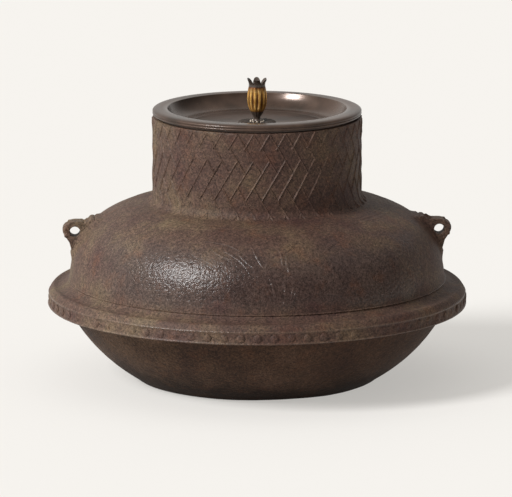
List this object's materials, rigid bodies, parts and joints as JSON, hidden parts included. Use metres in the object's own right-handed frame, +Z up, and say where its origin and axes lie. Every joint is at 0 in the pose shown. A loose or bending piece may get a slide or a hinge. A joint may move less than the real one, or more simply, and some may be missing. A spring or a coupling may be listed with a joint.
{
  "type": "tea kettle",
  "caption": "Cast iron tea kettle with a straight latticed neck, low dome, wide hearth flange, pierced shoulder lugs and a lift-off dished bronze lid with a fluted fruit knob.",
  "frame": {"origin": "middle of the flat foot, on the kettle's axis", "axes": "+Z up along the kettle's axis; the lugs lie on the X axis with their holes along Y; -Y is the front"},
  "size_m": [0.2886, 0.2886, 0.2075],
  "materials": {
    "cast_iron": "rough brown-patinated sand-skin casting",
    "pan_iron": "smoother, darker casting",
    "plate_iron": "scaled forged plate",
    "lacquer": "matt lacquer with iron powder",
    "bronze": "polished dark brown patina",
    "gilt": "worn gilding",
    "dark_bronze": "dark patina"
  },
  "bodies": {
    "kettle": {"kettle_body": "cast_iron", "bottom_pan": "pan_iron", "lacquer_seam": "lacquer", "left_lug": "cast_iron", "right_lug": "cast_iron", "singing_plate_1": "plate_iron", "singing_plate_2": "plate_iron", "singing_plate_3": "plate_iron", "singing_plate_4": "plate_iron", "singing_plate_5": "plate_iron", "lacquer_bed_1": "lacquer", "lacquer_bed_2": "lacquer", "lacquer_bed_3": "lacquer", "lacquer_bed_4": "lacquer", "lacquer_bed_5": "lacquer"},
    "lid": {"lid": "bronze", "knob_seat": "bronze", "knob_fruit": "gilt", "knob_crown": "dark_bronze", "knob_stem": "dark_bronze", "under_washer": "bronze"}
  },
  "joints": [
    {"name": "lid_lift", "type": "slide", "parent": "kettle", "child": "lid", "axis": [0, 0, 1], "range_m": [0, 0.1]}
  ]
}
